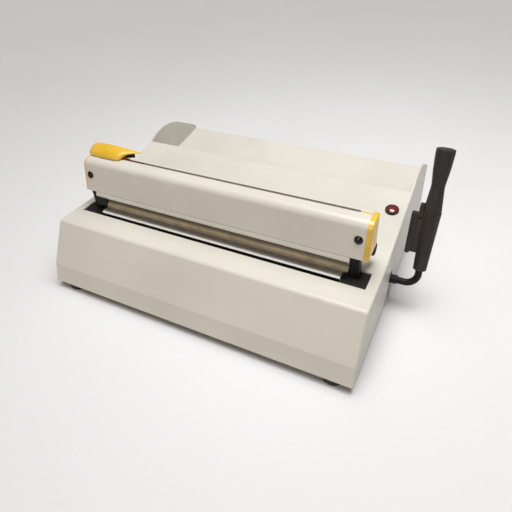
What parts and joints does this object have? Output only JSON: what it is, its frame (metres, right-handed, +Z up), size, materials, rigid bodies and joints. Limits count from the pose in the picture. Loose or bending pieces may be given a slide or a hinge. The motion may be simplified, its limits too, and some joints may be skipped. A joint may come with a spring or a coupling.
{
  "type": "table-top lever film sealer with cutter",
  "caption": "Table-top film sealer: enamelled case with roll cradle, sprung sealing beam worked by a side lever through eccentrics, and a sliding film cutter.",
  "frame": {"origin": "on the table, under the middle of the overall box", "axes": "+X to the operator's right, -Y to the front, +Z up"},
  "size_m": [0.4394, 0.346, 0.1936],
  "materials": {
    "cream_enamel": "satin cream enamel",
    "grey_enamel": "grey enamel",
    "yellow_plastic": "moulded yellow, slightly glossy",
    "black_plastic": "matt black",
    "black_steel": "blackened steel",
    "screw_steel": "dark plated steel",
    "steel": "plain steel",
    "bright_aluminium": "bright drawn aluminium",
    "grey_silicone": "grey silicone",
    "tan_cloth": "tan coated glass cloth",
    "bronze": "sintered bronze",
    "black_rubber": "black rubber",
    "red_lens": "red lens",
    "red_plastic": "dark red plastic",
    "pale_plastic": "pale moulded plastic"
  },
  "bodies": {
    "base": {"casing": "cream_enamel", "rubber_feet": "black_rubber", "base_plate": "grey_enamel", "base_screws": "screw_steel", "foot_screws": "screw_steel", "guide_column_left": "black_plastic", "guide_column_right": "black_plastic", "jaw_bed": "steel", "bed_screws": "screw_steel", "lower_jaw": "bright_aluminium", "rubber_strip": "grey_silicone", "lamp_bezel": "black_plastic", "lamp_lens": "red_lens", "lamp_body": "pale_plastic", "bearing_bracket_left": "steel", "bearing_bracket_right": "steel", "bearing_bush_left": "bronze", "bearing_bush_right": "bronze", "bracket_screws": "screw_steel", "mains_inlet": "black_plastic", "switch_body": "black_plastic", "terminal_block": "pale_plastic", "return_spring_left": "steel", "return_spring_right": "steel"},
    "beam": {"jaw_post_left": "black_steel", "jaw_post_right": "black_steel", "beam_cover": "cream_enamel", "beam_rail": "cream_enamel", "beam_screws": "screw_steel", "end_cap_left": "yellow_plastic", "end_cap_right": "yellow_plastic", "jaw_carrier": "cream_enamel", "release_cover": "tan_cloth", "upper_jaw": "bright_aluminium", "heating_rod": "steel", "thermostat": "pale_plastic", "press_plate_left": "steel", "press_plate_right": "steel", "press_pins": "screw_steel"},
    "cutter": {"cutter_knob": "yellow_plastic", "cutter_plate": "steel", "cutter_blade": "steel", "cutter_screws": "screw_steel", "cutter_shoe": "red_plastic"},
    "lever": {"lever_rod": "black_steel", "retaining_ring": "screw_steel", "lever_collar": "black_plastic", "lever_socket": "black_plastic", "lever_grip": "black_plastic", "eccentric_left": "steel", "eccentric_right": "steel", "grub_screws": "screw_steel"},
    "rocker": {"switch_rocker": "black_plastic"}
  },
  "joints": [
    {"name": "lever_pull", "type": "hinge", "parent": "base", "child": "lever", "pos_m": [-0.0197, -0.032, 0.038], "axis": [1, 0, 0], "range_deg": [0, 60]},
    {"name": "beam_press", "type": "slide", "parent": "base", "child": "beam", "axis": [0, 0, -1], "range_m": [0, 0.0045], "stiffness_N_per_m": 2000, "springref_m": -0.014, "deforming": ["return_spring_left", "return_spring_right"]},
    {"name": "cutter_slide", "type": "slide", "parent": "beam", "child": "cutter", "axis": [1, 0, 0], "range_m": [0, 0.27]},
    {"name": "power_rocker", "type": "hinge", "parent": "base", "child": "rocker", "pos_m": [-0.1847, 0.1675, 0.044], "axis": [1, 0, 0], "range_deg": [0, 18]}
  ],
  "couplings": [
    {"joint": "beam_press", "follows": "lever_pull", "m_per_rad": 0.0042972}
  ]
}
